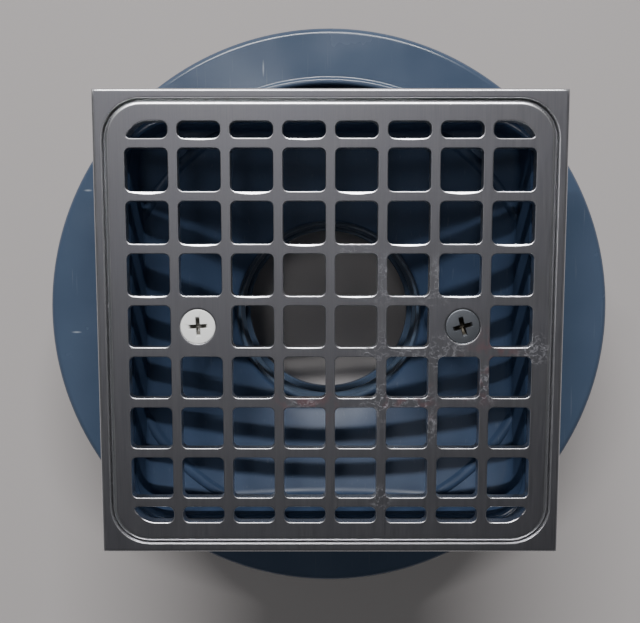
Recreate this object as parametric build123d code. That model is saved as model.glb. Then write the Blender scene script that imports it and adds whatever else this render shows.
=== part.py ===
from build123d import *
import os
from math import cos, radians, sin, sqrt, tan

# A square tile-in shower floor drain. Its origin is on the drain's axis at the hub's underside,
# with +Z up to the grate. Every length is in millimetres and every angle in degrees.

# Tile frame: the square metal ring that the tiles are laid up to
FRAME_WIDTH = 117.5
FRAME_RIM = 2.4
FRAME_EDGE_CHAMFER = 0.8
LEDGE_THICKNESS = 2.0
LEDGE_BEARING = 3.85
SKIRT_DEPTH = 2.9

# Grate
GRATE_THICKNESS = 3.0
GRATE_GAP = 0.35
GRATE_CORNER_RADIUS = 9.5
GRATE_EDGE_ROUND = 1.3
GRATE_MARGIN = 5.2
BAR_WIDTH = 2.4
CELL_COLUMNS = 8
CELL_ROWS = 7
CELL_CORNER_RADIUS = 1.4
THIN_CELL_CORNER_RADIUS = 1.5
FIELD_CORNER_RADIUS = 6.0

# Grate screws and the brass inserts that they screw into
SCREW_OUTSET = 0.84
SCREW_HEAD_RADIUS = 4.35
SCREW_HEAD_LAND = 0.3
SCREW_HEAD_ANGLE = 41.0
SCREW_SHANK_RADIUS = 2.4
SCREW_LENGTH = 14.0
SCREW_SINK = 0.1
CROSS_LENGTH = 4.8
CROSS_WIDTH = 1.0
CROSS_DEPTH = 1.5
CROSS_FLOOR_LENGTH = 1.9
CROSS_FLOOR_WIDTH = 0.8
LEFT_CROSS_TURN = 3.0
RIGHT_CROSS_TURN = 15.0
SCREW_INSERT_WALL = 1.0
SCREW_INSERT_LENGTH = 10.0
POST_WALL = 1.3
POST_GAP = 0.3

# Strainer tub: a conical dish with a square collar standing in it
TUB_DEPTH = 32.0
TUB_WALL = 3.0
TUB_LIP = 1.6
TUB_LIP_ROUND = 0.9
TUB_CORNER_RADIUS = 10.0
COLLAR_FLANGE_THICKNESS = 3.0
CONE_ANGLE = 21.0
OUTLET_RADIUS = 26.7
DISH_OVERHANG = 4.5
DISH_BEAD_RADIUS = 1.6
SPIGOT_WALL = 1.6
SPIGOT_LENGTH = 3.5

# Small countersunk screws that hold the frame down on the collar
FRAME_SCREW_HEAD_RADIUS = 2.2
FRAME_SCREW_RADIUS = 1.2
FRAME_SCREW_LENGTH = 6.0
FRAME_SCREW_END_GAP = 1.0
FRAME_SCREW_BOSS_WALL = 1.8
FRAME_SCREW_SLOT_WIDTH = 0.45
FRAME_SCREW_SLOT_DEPTH = 0.55

# Height sleeve: a threaded tube that carries the tub and screws into the clamping ring
SLEEVE_WALL = 1.6
SLEEVE_STEP = 0.8
SLEEVE_RIB_HEIGHT = 0.7
SLEEVE_RIB_WIDTH = 1.6
SLEEVE_FOOT_GAP = 0.5

# Drain base: flange, liner seat, hub and pipe socket
FLANGE_DIAMETER = 162.0
FLANGE_THICKNESS = 5.0
FLANGE_EDGE_ROUND = 2.0
SEAT_RECESS = 8.0
SEAT_THICKNESS = 5.0
SEAT_LIP_WIDTH = 1.9
SEAT_LIP_HEIGHT = 0.7
THROAT_GAP = 1.2
THROAT_DEPTH = 5.5
STOP_RADIUS = 24.0
STOP_THICKNESS = 2.5
SOCKET_RADIUS = 30.25
SOCKET_DEPTH = 22.0
HUB_WALL = 3.5
RIB_COUNT = 8
RIB_THICKNESS = 3.0
RIB_FOOT = 5.0

# Clamping ring
RING_SIDE_GAP = 2.6
RING_THICKNESS = 4.0
RING_HUB_WALL = 4.5
RING_LAND = 28.0
RING_HUB_HEIGHT = 6.0
RING_EDGE_ROUND = 1.0
WEEP_COUNT = 8
WEEP_WIDTH = 3.0
WEEP_HEIGHT = 1.2

# Clamp bolts, their washers and the brass inserts in the base
BOLT_SETBACK = 13.5
BOLT_COUNT = 4
BOLT_FIRST_ANGLE = 45.0
BOLT_RADIUS = 3.15
BOLT_HEAD_ACROSS_FLATS = 11.1
BOLT_HEAD_HEIGHT = 4.0
BOLT_HOLE_GAP = 0.45
BOLT_INSERT_WALL = 1.0
BOLT_INSERT_LENGTH = 12.0
BOLT_INSERT_BOSS_WALL = 1.9
BOLT_INSERT_FLOOR = 3.0
BOLT_END_GAP = 1.0
WASHER_RADIUS = 6.5
WASHER_THICKNESS = 1.0

# Clearances
RUNNING_GAP = 0.08
THREAD_GAP = 0.05
NESTING_GAP = 0.25
SCREW_HOLE_GAP = 0.35
CONE_GAP = 0.12
BOLT_HEAD_CLEARANCE = 1.5

# How far one shape runs into or past another so that they join or cut cleanly
OVERLAP = 1.0

# Radii, from the outlet outwards
spigot_radius = OUTLET_RADIUS + SPIGOT_WALL
sleeve_seat_radius = spigot_radius + RUNNING_GAP
sleeve_radius = sleeve_seat_radius + SLEEVE_WALL
sleeve_lower_radius = OUTLET_RADIUS - SLEEVE_STEP
throat_radius = sleeve_radius + THROAT_GAP
hub_radius = max(SOCKET_RADIUS, throat_radius) + HUB_WALL
ring_bore = sleeve_radius + RUNNING_GAP
ring_hub_radius = ring_bore + RING_HUB_WALL
bolt_circle_radius = ring_hub_radius + BOLT_SETBACK
ring_radius = ring_hub_radius + RING_LAND
seat_radius = ring_radius + RING_SIDE_GAP
seat_outer = seat_radius + SEAT_THICKNESS
seat_lip_radius = seat_radius + SEAT_LIP_WIDTH
flange_radius = FLANGE_DIAMETER / 2

# Heights, from the hub's underside up
stop_bottom = SOCKET_DEPTH
stop_top = stop_bottom + STOP_THICKNESS
seat_z = stop_top + THROAT_DEPTH
seat_under = seat_z - SEAT_THICKNESS
flange_top = seat_z + SEAT_RECESS
flange_under = flange_top - FLANGE_THICKNESS
seat_lip_top = flange_top + SEAT_LIP_HEIGHT
ring_top = seat_z + RING_THICKNESS
ring_hub_top = seat_z + RING_HUB_HEIGHT
washer_top = ring_top + WASHER_THICKNESS
bolt_top = washer_top + BOLT_HEAD_HEIGHT

# The dish's slope and how high its outlet must sit to clear the bolt heads and the sleeve
cone_slope = tan(radians(CONE_ANGLE))
cone_drop = TUB_WALL / cos(radians(CONE_ANGLE))
bolt_head_radius = BOLT_HEAD_ACROSS_FLATS / sqrt(3)
bolt_inner_radius = bolt_circle_radius - max(bolt_head_radius, WASHER_RADIUS)
cone_rise_at_bolts = (bolt_inner_radius - OUTLET_RADIUS) * cone_slope
outlet_z = bolt_top + BOLT_HEAD_CLEARANCE + cone_drop - cone_rise_at_bolts
sleeve_top = outlet_z - SPIGOT_WALL / 2
sleeve_bottom = stop_top + SLEEVE_FOOT_GAP
sleeve_step = sleeve_top - SPIGOT_LENGTH - SLEEVE_FOOT_GAP
sleeve_shoulder_radius = OUTLET_RADIUS + (sleeve_top - outlet_z + cone_drop) / cone_slope

# Frame, grate and collar
top_z = outlet_z + TUB_DEPTH
frame_half = FRAME_WIDTH / 2
pocket_half = frame_half - FRAME_RIM
pocket_radius = GRATE_CORNER_RADIUS + GRATE_GAP
grate_half = pocket_half - GRATE_GAP
grate_bottom = top_z - GRATE_THICKNESS
ledge_bottom = grate_bottom - LEDGE_THICKNESS
frame_bottom = ledge_bottom - SKIRT_DEPTH
opening_half = pocket_half - LEDGE_BEARING
opening_radius = TUB_CORNER_RADIUS + TUB_LIP
collar_half = opening_half - TUB_LIP
collar_top = ledge_bottom
collar_outer_half = collar_half + TUB_WALL
dish_radius = collar_outer_half + DISH_OVERHANG
dish_rim_z = outlet_z + (dish_radius - OUTLET_RADIUS) * cone_slope

# The grate's field of cells
field_half = grate_half - GRATE_MARGIN
cell_width = (2 * field_half - (CELL_COLUMNS - 1) * BAR_WIDTH) / CELL_COLUMNS
cell_pitch = cell_width + BAR_WIDTH
full_rows_half = (CELL_ROWS * cell_pitch - BAR_WIDTH) / 2
thin_cell_height = field_half - full_rows_half - BAR_WIDTH
screw_x = (CELL_COLUMNS / 2 - 1.5) * cell_pitch + SCREW_OUTSET

# Screws, posts and the frame screws' places on the ledge's diagonals
screw_top = top_z - SCREW_SINK
screw_bottom = screw_top - SCREW_LENGTH
insert_inner = SCREW_SHANK_RADIUS + THREAD_GAP
insert_outer = insert_inner + SCREW_INSERT_WALL
post_radius = insert_outer + POST_WALL
post_top = grate_bottom - POST_GAP
screw_insert_bottom = post_top - SCREW_INSERT_LENGTH
screw_hole_bottom = min(screw_insert_bottom, screw_bottom) - POST_WALL
bolt_insert_inner = BOLT_RADIUS + THREAD_GAP
bolt_insert_outer = bolt_insert_inner + BOLT_INSERT_WALL
boss_radius = bolt_insert_outer + BOLT_INSERT_BOSS_WALL
bolt_insert_bottom = seat_z - BOLT_INSERT_LENGTH
bolt_bottom = bolt_insert_bottom + BOLT_END_GAP
pocket_diagonal = (pocket_half - pocket_radius) * sqrt(2) + pocket_radius
opening_diagonal = (opening_half - opening_radius) * sqrt(2) + opening_radius
frame_screw_offset = (pocket_diagonal + opening_diagonal) / 2 / sqrt(2)
frame_screw_cone = FRAME_SCREW_HEAD_RADIUS - FRAME_SCREW_RADIUS
frame_screw_top = grate_bottom - SCREW_SINK
frame_screw_bottom = frame_screw_top - FRAME_SCREW_LENGTH
frame_screw_hole_bottom = frame_screw_bottom - FRAME_SCREW_END_GAP


def disc(radius, low, high, x=0.0, y=0.0):
    """Upright cylinder between two heights."""
    return Pos(x, y, (low + high) / 2) * Cylinder(radius, high - low)


def turned(*points):
    """Solid of revolution about Z from (radius, height) corners."""
    outline = make_face(Polyline(*points, close=True))
    return revolve(Plane.XZ * outline, Axis.Z)


def rounded_square(half, corner, low, high):
    """Upright prism with a rounded-square outline."""
    return Pos(0, 0, low) * extrude(RectangleRounded(2 * half, 2 * half, corner), high - low)


def around(count, radius, first_angle=0.0):
    """Evenly spaced places on a circle."""
    steps = [radians(first_angle + i * 360 / count) for i in range(count)]
    return [(radius * cos(a), radius * sin(a)) for a in steps]


def cone_height(radius, drop=0.0):
    """Height of the dish's upper face at a radius, or of the face a drop below it."""
    return outlet_z + (radius - OUTLET_RADIUS) * cone_slope - drop


def above_cone(drop=0.0):
    """Everything over the dish's upper face, or over the face a drop below it."""
    far = 2 * dish_radius
    inner = OUTLET_RADIUS
    high = cone_height(far) + far
    low = cone_height(inner, drop)
    return turned((0, low), (inner, low), (far, cone_height(far, drop)), (far, high), (0, high))


def edges_at(shape, height, radius=None):
    """Edges lying flat at one height, or only the circles there of one radius."""
    flat = [
        e
        for e in shape.edges()
        if abs(e.bounding_box().min.Z - height) < 1e-4 and abs(e.bounding_box().max.Z - height) < 1e-4
    ]
    if radius is None:
        return flat
    return [e for e in flat if e.geom_type == GeomType.CIRCLE and abs(e.radius - radius) < 1e-4]


def make_drain_base():
    """Flange with a recessed liner seat, a hub with the pipe socket, ribs and bolt bosses."""
    body = turned(
        (SOCKET_RADIUS, 0),
        (hub_radius, 0),
        (hub_radius, seat_under),
        (seat_outer, seat_under),
        (seat_outer, flange_under),
        (flange_radius, flange_under),
        (flange_radius, flange_top),
        (seat_lip_radius, flange_top),
        (seat_lip_radius, seat_lip_top),
        (seat_radius, seat_lip_top),
        (seat_radius, seat_z),
        (throat_radius, seat_z),
        (throat_radius, stop_top),
        (STOP_RADIUS, stop_top),
        (STOP_RADIUS, stop_bottom),
        (SOCKET_RADIUS, stop_bottom),
    )
    rounded = edges_at(body, flange_top, flange_radius) + edges_at(body, flange_under, flange_radius)
    body = fillet(rounded, FLANGE_EDGE_ROUND)
    body = fillet(edges_at(body, seat_lip_top), 0.9 * min(SEAT_LIP_WIDTH / 2, SEAT_LIP_HEIGHT))
    body = chamfer(edges_at(body, 0, hub_radius), HUB_WALL / 4)
    bore = disc(throat_radius, -OVERLAP, seat_z)
    rib_outline = make_face(
        Polyline(
            (hub_radius - OVERLAP, RIB_FOOT),
            (hub_radius, RIB_FOOT),
            (seat_outer - SEAT_THICKNESS / 2, seat_under - OVERLAP),
            (seat_outer - SEAT_THICKNESS / 2, seat_under + OVERLAP),
            (hub_radius - OVERLAP, seat_under + OVERLAP),
            close=True,
        )
    )
    rib = extrude(Plane.XZ * rib_outline, RIB_THICKNESS / 2, both=True)
    for i in range(RIB_COUNT):
        body += Rot(0, 0, i * 360 / RIB_COUNT) * (rib - bore)
    boss_bottom = bolt_insert_bottom - BOLT_INSERT_FLOOR
    for x, y in around(BOLT_COUNT, bolt_circle_radius, BOLT_FIRST_ANGLE):
        body += disc(boss_radius, boss_bottom, seat_z, x, y)
        body -= disc(bolt_insert_outer, bolt_insert_bottom, seat_z + OVERLAP, x, y)
    return body


def make_bolt_insert(x, y):
    """Knurled brass insert, flush with the seat."""
    insert = disc(bolt_insert_outer, bolt_insert_bottom, seat_z, x, y)
    insert -= disc(bolt_insert_inner, bolt_insert_bottom - OVERLAP, seat_z + OVERLAP, x, y)
    groove_width = BOLT_INSERT_LENGTH / 10
    groove_radius = bolt_insert_outer - BOLT_INSERT_WALL / 3
    for share in (1 / 3, 2 / 3):
        low = bolt_insert_bottom + share * BOLT_INSERT_LENGTH - groove_width / 2
        high = low + groove_width
        insert -= disc(bolt_insert_outer + OVERLAP, low, high, x, y) - disc(groove_radius, low, high, x, y)
    return insert


def make_clamping_ring():
    """Ring that grips the liner on the seat, with the sleeve's thread in its raised hub."""
    ring = disc(ring_radius, seat_z, ring_top) + disc(ring_hub_radius, seat_z, ring_hub_top)
    ring = fillet(edges_at(ring, ring_top, ring_radius), RING_EDGE_ROUND)
    ring = fillet(edges_at(ring, ring_hub_top), RING_EDGE_ROUND)
    ring -= disc(ring_bore, seat_z - OVERLAP, ring_hub_top + OVERLAP)
    weep_length = bolt_circle_radius - ring_bore + OVERLAP
    weep_middle = ring_bore - OVERLAP + weep_length / 2
    weep = Pos(weep_middle, 0, seat_z) * Box(weep_length, WEEP_WIDTH, 2 * WEEP_HEIGHT)
    for i in range(WEEP_COUNT):
        ring -= Rot(0, 0, (i + 0.5) * 360 / WEEP_COUNT + BOLT_FIRST_ANGLE) * weep
    for x, y in around(BOLT_COUNT, bolt_circle_radius, BOLT_FIRST_ANGLE):
        ring -= disc(BOLT_RADIUS + BOLT_HOLE_GAP, seat_z - OVERLAP, ring_top + OVERLAP, x, y)
    return ring


def make_washer(x, y):
    """Flat washer on the clamping ring."""
    hole = disc(BOLT_RADIUS + BOLT_HOLE_GAP / 2, ring_top - OVERLAP, washer_top + OVERLAP, x, y)
    return disc(WASHER_RADIUS, ring_top, washer_top, x, y) - hole


def make_clamp_bolt(x, y):
    """Hexagon-head bolt, chamfered at its head and tip."""
    head = Pos(x, y, washer_top) * extrude(RegularPolygon(bolt_head_radius, 6), BOLT_HEAD_HEIGHT)
    shoulder = BOLT_HEAD_ACROSS_FLATS / 2
    trim = turned(
        (0, washer_top - OVERLAP),
        (bolt_head_radius + OVERLAP, washer_top - OVERLAP),
        (bolt_head_radius + OVERLAP, bolt_top - BOLT_HEAD_HEIGHT / 8),
        (shoulder, bolt_top),
        (0, bolt_top),
    )
    head &= Pos(x, y, 0) * trim
    tip = BOLT_RADIUS / 4
    shank = turned(
        (0, bolt_bottom),
        (BOLT_RADIUS - tip, bolt_bottom),
        (BOLT_RADIUS, bolt_bottom + tip),
        (BOLT_RADIUS, washer_top),
        (0, washer_top),
    )
    return head + Pos(x, y, 0) * shank


def make_height_sleeve():
    """Threaded tube with a seat for the tub's spigot and a grip rib inside."""
    rib_low = (sleeve_bottom + sleeve_step) / 2 - SLEEVE_RIB_WIDTH
    rib_high = rib_low + SLEEVE_RIB_WIDTH
    rib = sleeve_lower_radius - SLEEVE_RIB_HEIGHT
    return turned(
        (sleeve_lower_radius, sleeve_bottom),
        (sleeve_radius - SLEEVE_RIB_HEIGHT, sleeve_bottom),
        (sleeve_radius, sleeve_bottom + SLEEVE_RIB_HEIGHT),
        (sleeve_radius, sleeve_top),
        (sleeve_seat_radius, sleeve_top),
        (sleeve_seat_radius, sleeve_step),
        (sleeve_lower_radius, sleeve_step),
        (sleeve_lower_radius, rib_high + SLEEVE_RIB_HEIGHT),
        (rib, rib_high),
        (rib, rib_low),
        (sleeve_lower_radius, rib_low - SLEEVE_RIB_HEIGHT),
    )


def make_strainer_tub():
    """Conical dish with a beaded rim, a square collar, an outlet spigot and two screw posts."""
    spigot_bottom = sleeve_top - SPIGOT_LENGTH
    dish = turned(
        (OUTLET_RADIUS, spigot_bottom),
        (spigot_radius, spigot_bottom),
        (spigot_radius, sleeve_top),
        (sleeve_shoulder_radius, sleeve_top),
        (dish_radius, cone_height(dish_radius, cone_drop)),
        (dish_radius, dish_rim_z),
        (OUTLET_RADIUS, outlet_z),
    )
    dish += Pos(0, 0, dish_rim_z - DISH_BEAD_RADIUS / 2) * Torus(dish_radius, DISH_BEAD_RADIUS)
    over_underside = above_cone(cone_drop)
    foot = outlet_z
    outer_corner = TUB_CORNER_RADIUS + TUB_WALL
    collar = rounded_square(collar_outer_half, outer_corner, foot, collar_top) & over_underside
    flange_bottom = collar_top - COLLAR_FLANGE_THICKNESS
    flange_half = pocket_half - NESTING_GAP
    flange_corner = pocket_radius - NESTING_GAP
    collar += rounded_square(flange_half, flange_corner, flange_bottom, collar_top)
    boss = FRAME_SCREW_RADIUS + FRAME_SCREW_BOSS_WALL
    boss_bottom = frame_screw_hole_bottom - FRAME_SCREW_BOSS_WALL
    inside_skirt = rounded_square(flange_half, flange_corner, boss_bottom, collar_top)
    for x, y in frame_screw_places():
        collar += disc(boss, boss_bottom, collar_top, x, y) & inside_skirt
    hollow = rounded_square(collar_half, TUB_CORNER_RADIUS, foot, collar_top + OVERLAP) & above_cone()
    collar -= hollow
    collar = fillet(inner_collar_edges(collar), TUB_LIP_ROUND)
    for x, y in frame_screw_places():
        collar -= disc(FRAME_SCREW_RADIUS + THREAD_GAP, frame_screw_hole_bottom, collar_top + OVERLAP, x, y)
    tub = dish + collar
    bore = disc(OUTLET_RADIUS, spigot_bottom, outlet_z)
    for x in (-screw_x, screw_x):
        tub += (disc(post_radius, foot, post_top, x, 0) & over_underside) - bore
        tub -= disc(insert_outer, screw_insert_bottom, post_top + OVERLAP, x, 0)
        tub -= disc(insert_inner, screw_hole_bottom, post_top, x, 0)
    return tub


def inner_collar_edges(collar):
    """The collar's inner top edges, which show inside the frame."""
    limit = collar_half + TUB_LIP / 2
    found = []
    for edge in edges_at(collar, collar_top):
        box = edge.bounding_box()
        if max(box.max.X, box.max.Y, -box.min.X, -box.min.Y) < limit:
            found.append(edge)
    return found


def frame_screw_places():
    """The four corners of the ledge."""
    return around(4, frame_screw_offset * sqrt(2), 45)


def make_tile_frame():
    """Square ring with a pocket and ledge for the grate, and a skirt over the collar."""
    height = top_z - frame_bottom
    frame = Pos(0, 0, frame_bottom + height / 2) * Box(FRAME_WIDTH, FRAME_WIDTH, height)
    frame = chamfer(edges_at(frame, top_z), FRAME_EDGE_CHAMFER)
    frame -= rounded_square(pocket_half, pocket_radius, grate_bottom, top_z + OVERLAP)
    frame -= rounded_square(opening_half, opening_radius, frame_bottom - OVERLAP, grate_bottom + OVERLAP)
    frame -= rounded_square(pocket_half, pocket_radius, frame_bottom - OVERLAP, ledge_bottom)
    sink = FRAME_SCREW_HEAD_RADIUS + NESTING_GAP
    hole = FRAME_SCREW_RADIUS + NESTING_GAP
    screw_hole = turned(
        (0, ledge_bottom - OVERLAP),
        (hole, ledge_bottom - OVERLAP),
        (hole, grate_bottom - frame_screw_cone),
        (sink, grate_bottom),
        (sink, grate_bottom + OVERLAP),
        (0, grate_bottom + OVERLAP),
    )
    for x, y in frame_screw_places():
        frame -= Pos(x, y, 0) * screw_hole
    return frame


def make_frame_screw(x, y):
    """Countersunk screw with a cross recess, its head just under the ledge's face."""
    body = turned(
        (0, frame_screw_bottom),
        (FRAME_SCREW_RADIUS / 2, frame_screw_bottom),
        (FRAME_SCREW_RADIUS, frame_screw_bottom + FRAME_SCREW_RADIUS),
        (FRAME_SCREW_RADIUS, frame_screw_top - frame_screw_cone),
        (FRAME_SCREW_HEAD_RADIUS, frame_screw_top),
        (0, frame_screw_top),
    )
    slot_length = FRAME_SCREW_HEAD_RADIUS
    slot = Box(slot_length, FRAME_SCREW_SLOT_WIDTH, 2 * FRAME_SCREW_SLOT_DEPTH)
    for angle in (0, 90):
        body -= Pos(0, 0, frame_screw_top) * Rot(0, 0, angle) * slot
    return Pos(x, y, 0) * body


def cell_outlines():
    """Every opening in the grate as a flat outline, with none where the two screws go."""
    cells = []
    field = RectangleRounded(2 * field_half, 2 * field_half, FIELD_CORNER_RADIUS)
    middle_row = CELL_ROWS // 2
    screw_columns = (1, CELL_COLUMNS - 2)
    for column in range(CELL_COLUMNS):
        x = (column - (CELL_COLUMNS - 1) / 2) * cell_pitch
        for row in range(CELL_ROWS):
            y = (row - (CELL_ROWS - 1) / 2) * cell_pitch
            if row == middle_row and column in screw_columns:
                continue
            cells.append(Pos(x, y) * RectangleRounded(cell_width, cell_width, CELL_CORNER_RADIUS))
        y = field_half - thin_cell_height / 2
        for side in (-1, 1):
            thin_cell = RectangleRounded(cell_width, thin_cell_height, THIN_CELL_CORNER_RADIUS)
            cells.append(Pos(x, side * y) * thin_cell & field)
    return cells


def make_grate():
    """Rounded-square plate with a field of cells and two countersunk holes."""
    plate = rounded_square(grate_half, GRATE_CORNER_RADIUS, grate_bottom, top_z)
    plate = fillet(edges_at(plate, top_z), GRATE_EDGE_ROUND)
    cutter_height = GRATE_THICKNESS + 2 * OVERLAP
    cutters = [Pos(0, 0, grate_bottom - OVERLAP) * extrude(c, cutter_height) for c in cell_outlines()]
    plate = plate.cut(*cutters)
    hole = SCREW_SHANK_RADIUS + SCREW_HOLE_GAP
    for x in (-screw_x, screw_x):
        plate -= disc(hole, grate_bottom - OVERLAP, top_z, x, 0)
        plate -= Pos(x, 0, 0) * screw_head_cone(CONE_GAP)
    return plate


def screw_head_cone(gap=0.0):
    """The grate screw's countersunk head, or with a gap the seat cut for it."""
    spread = SCREW_HEAD_RADIUS - SCREW_SHANK_RADIUS
    depth = spread / tan(radians(SCREW_HEAD_ANGLE))
    edge = SCREW_HEAD_RADIUS + gap
    neck = SCREW_SHANK_RADIUS + gap
    land = screw_top - SCREW_HEAD_LAND - gap
    top = screw_top if gap == 0 else top_z + OVERLAP
    return turned((0, land - depth), (neck, land - depth), (edge, land), (edge, top), (0, top))


def make_grate_screw(x, turn):
    """Flat-head screw with a cross recess."""
    tip = SCREW_SHANK_RADIUS / 2
    neck_z = screw_top - SCREW_HEAD_LAND - OVERLAP
    shank = turned(
        (0, screw_bottom),
        (SCREW_SHANK_RADIUS - tip, screw_bottom),
        (SCREW_SHANK_RADIUS, screw_bottom + tip),
        (SCREW_SHANK_RADIUS, neck_z),
        (0, neck_z),
    )
    screw = shank + screw_head_cone()
    for angle in (0, 90):
        mouth = Pos(0, 0, screw_top) * Rectangle(CROSS_LENGTH, CROSS_WIDTH)
        floor = Pos(0, 0, screw_top - CROSS_DEPTH) * Rectangle(CROSS_FLOOR_LENGTH, CROSS_FLOOR_WIDTH)
        slot = loft([mouth, floor])
        screw -= Rot(0, 0, turn + angle) * slot
    return Pos(x, 0, 0) * screw


def make_screw_insert(x):
    """Brass insert in a post's top."""
    insert = disc(insert_outer, screw_insert_bottom, post_top, x, 0)
    return insert - disc(insert_inner, screw_insert_bottom - OVERLAP, post_top + OVERLAP, x, 0)


def build_nodes():
    """Every sub-part by name."""
    nodes = {
        "drain_base": make_drain_base(),
        "clamping_ring": make_clamping_ring(),
        "height_sleeve": make_height_sleeve(),
        "strainer_tub": make_strainer_tub(),
        "tile_frame": make_tile_frame(),
        "grate": make_grate(),
        "grate_screw_left": make_grate_screw(-screw_x, LEFT_CROSS_TURN),
        "grate_screw_right": make_grate_screw(screw_x, RIGHT_CROSS_TURN),
        "screw_insert_left": make_screw_insert(-screw_x),
        "screw_insert_right": make_screw_insert(screw_x),
    }
    for number, (x, y) in enumerate(around(BOLT_COUNT, bolt_circle_radius, BOLT_FIRST_ANGLE), 1):
        nodes[f"clamp_bolt_{number}"] = make_clamp_bolt(x, y)
        nodes[f"bolt_washer_{number}"] = make_washer(x, y)
        nodes[f"bolt_insert_{number}"] = make_bolt_insert(x, y)
    for number, (x, y) in enumerate(frame_screw_places(), 1):
        nodes[f"frame_screw_{number}"] = make_frame_screw(x, y)
    return nodes


os.makedirs("parts", exist_ok=True)
for name, shape in build_nodes().items():
    export_step(shape, f"parts/{name}.step")
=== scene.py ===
import math

import bmesh
import bpy
from mathutils import Matrix, Vector


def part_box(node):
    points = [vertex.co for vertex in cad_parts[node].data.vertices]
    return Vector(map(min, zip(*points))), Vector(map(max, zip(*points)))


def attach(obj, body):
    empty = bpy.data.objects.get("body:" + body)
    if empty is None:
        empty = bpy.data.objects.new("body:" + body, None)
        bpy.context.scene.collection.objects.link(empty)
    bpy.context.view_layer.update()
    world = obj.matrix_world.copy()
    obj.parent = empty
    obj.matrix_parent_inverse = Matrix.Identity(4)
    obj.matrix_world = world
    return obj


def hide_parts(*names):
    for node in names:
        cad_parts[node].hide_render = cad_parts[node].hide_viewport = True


# A square tile-in shower drain: nickel grate and frame, slate-blue plastic tub and flanged base.
# Lengths are written in millimetres and turned into metres as they reach a mesh.

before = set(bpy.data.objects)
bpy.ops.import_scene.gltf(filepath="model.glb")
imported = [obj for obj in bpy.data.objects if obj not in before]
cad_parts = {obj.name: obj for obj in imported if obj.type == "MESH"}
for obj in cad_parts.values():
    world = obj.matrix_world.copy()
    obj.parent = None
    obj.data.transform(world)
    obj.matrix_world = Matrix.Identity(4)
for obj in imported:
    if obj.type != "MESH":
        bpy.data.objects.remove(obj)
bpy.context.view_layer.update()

MM = 0.001
PITCH = 4.0
SKIN_MERGE = 0.002
FIELD_MERGE = 0.004
LAMP_DISTANCE = 2.0


def level(node, top=True):
    """Height of a CAD node's top or bottom, in millimetres."""
    low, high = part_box(node)
    return (high.z if top else low.z) / MM


def half_width(node):
    """Half of a CAD node's width along X, in millimetres."""
    low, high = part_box(node)
    return (high.x - low.x) / 2 / MM


# Sizes read from the frame
GRATE_TOP = level("grate")
GRATE_BOTTOM = level("grate", False)
GRATE_HALF = half_width("grate")
FRAME_HALF = half_width("tile_frame")
FRAME_BOTTOM = level("tile_frame", False)
LEDGE_THICKNESS = 2.0
COLLAR_TOP = GRATE_BOTTOM - LEDGE_THICKNESS
SLEEVE_TOP = level("height_sleeve")
SLEEVE_BOTTOM = level("height_sleeve", False)
SLEEVE_RADIUS = half_width("height_sleeve")
FLANGE_RADIUS = half_width("drain_base")
LIP_HEIGHT = 0.7
LIP_WIDTH = 1.9
FLANGE_TOP = level("drain_base") - LIP_HEIGHT
RING_SIDE_GAP = 2.6
SEAT_RADIUS = half_width("clamping_ring") + RING_SIDE_GAP
SCREW_TOP = level("grate_screw_left")
SCREW_BOTTOM = level("grate_screw_left", False)
SCREW_X = (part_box("grate_screw_right")[0].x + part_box("grate_screw_right")[1].x) / 2 / MM

# Sizes of the frame, pocket and collar
FRAME_RIM = 2.4
NESTING_GAP = 0.25
POCKET_HALF = FRAME_HALF - FRAME_RIM
POCKET_CORNER = 9.85
GRATE_CORNER = 9.5
OPENING_HALF = 52.5
OPENING_CORNER = 11.6
COLLAR_HALF = 50.9
COLLAR_CORNER = 10.0
COLLAR_WALL = 3.0

# Sizes of the dish and outlet
OUTLET_RADIUS = 26.7
OUTLET_Z = SLEEVE_TOP + 0.8
CONE_ANGLE = math.radians(21)
CONE_SLOPE = math.tan(CONE_ANGLE)
CONE_DROP = COLLAR_WALL / math.cos(CONE_ANGLE)
BEAD_RADIUS = 1.6
DISH_RADIUS = half_width("strainer_tub") - BEAD_RADIUS
SPIGOT_RADIUS = 28.3
SPIGOT_LENGTH = 3.5

# Sizes of the pipe socket, its stop and the throat over it
SOCKET_RADIUS = 30.25
SOCKET_DEPTH = 22.0
STOP_RADIUS = 24.0
STOP_TOP = 24.5
THROAT_RADIUS = 31.2

# The grate's cells
COLUMNS = 8
ROWS = 9
CELL = 10.6
BAR = 2.4
CELL_PITCH = CELL + BAR
THIN_CELL = 4.1
CELL_CORNER = 1.4
THIN_CORNER = 1.6
FIELD_HALF = 50.8
FIELD_CORNER = 6.0

# How an edge falls away from the grate's face into a cell, as shares of its width: out, then down
ROUND_EDGE = [
    (1.3, 0.0), (1.0, 0.0), (0.7, 0.05), (0.4, 0.18),
    (0.2, 0.35), (0.08, 0.55), (0.02, 0.75), (0.0, 0.95),
]
BEVELLED_EDGE = [
    (1.3, 0.0), (1.0, 0.0), (0.94, 0.01), (0.87, 0.035),
    (0.22, 0.27), (0.12, 0.33), (0.03, 0.45), (0.0, 0.62),
]

# Where dried water has left white crust and faint rust on the grate: x, y and radius
CRUST_PLACES = [
    (6, 18.5, 4), (13, 12, 6), (25.5, 11.5, 6), (11.5, -4.5, 5), (20, -6.5, 5), (29, -7, 5),
    (51, -6, 4), (12.5, -19, 6), (22, -19.5, 5), (-7, -20, 4), (25, -25, 5), (38.5, -15, 5), (13, -44, 3),
]
FLANGE_SCRATCHES = [(-18.6, 69.6, 2.6, (9, 1)), (-73.5, -5.4, 1.7, (1, 5)), (-69, 35.5, 1.4, (1, 4))]
STAIN_PLACES = [(42, -6.5, 6), (37.5, -13, 6), (20, -19.5, 6), (-6, -20, 7)]


# ---------------------------------------------------------------- camera, light and floor

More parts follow.
